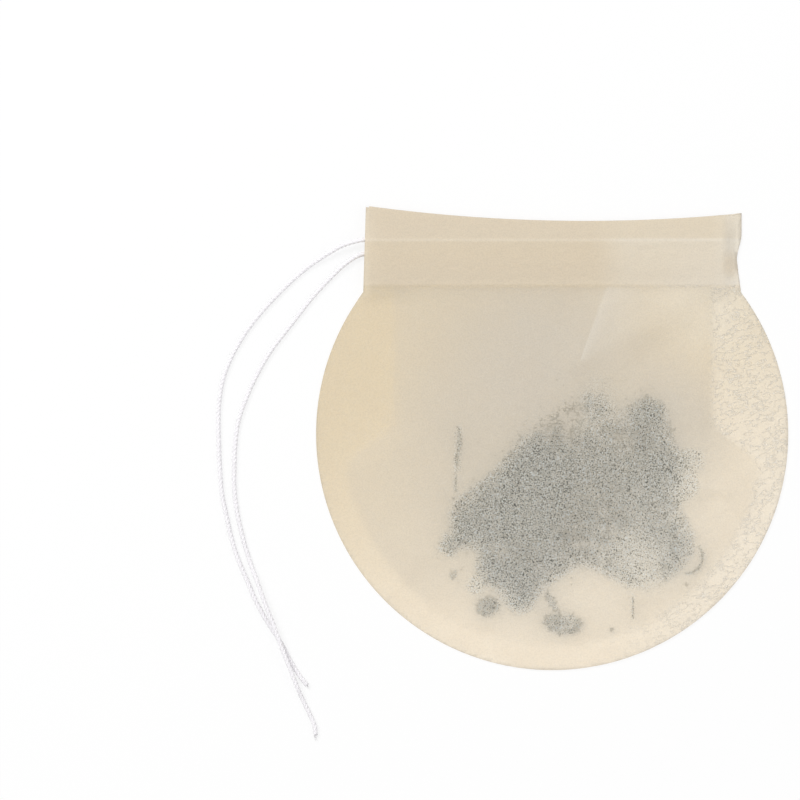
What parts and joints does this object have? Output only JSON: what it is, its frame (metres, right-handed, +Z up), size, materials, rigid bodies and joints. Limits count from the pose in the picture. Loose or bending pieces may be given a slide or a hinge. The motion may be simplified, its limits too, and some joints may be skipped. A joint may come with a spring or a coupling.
{
  "type": "drawstring tea bag",
  "caption": "Round paper tea bag with a folded hem, a drawstring through it and loose tea inside, lying flat.",
  "frame": {"origin": "on the surface that the bag lies on, under the middle of the bag's own box, the free string ends left out", "axes": "+Z up, out of the front sheet; +Y from the round end to the hemmed neck; +X to the right, away from the end of the hem where the string comes out"},
  "size_m": [0.109, 0.1009, 0.0048],
  "materials": {
    "filter_paper": "unbleached filter paper, thin, fibrous and matte, light shows through it",
    "cotton_string": "white twisted cotton, matte",
    "tea_leaves": "dry rolled green tea leaves, dark grey-green, matte"
  },
  "bodies": {
    "root": {"front_ply": "filter_paper", "back_ply": "filter_paper", "drawstring_in_hem": "cotton_string", "drawstring_short_end": "cotton_string", "drawstring_long_end": "cotton_string", "tea_heap": "tea_leaves", "tea_clump_low": "tea_leaves", "tea_clump_left": "tea_leaves", "tea_curl_right": "tea_leaves", "tea_stem_left_upper": "tea_leaves", "tea_stem_left_lower": "tea_leaves", "tea_stem_low": "tea_leaves", "tea_bit_left": "tea_leaves", "tea_bit_low": "tea_leaves", "tea_speck_right": "tea_leaves", "tea_speck_low": "tea_leaves"}
  },
  "joints": []
}
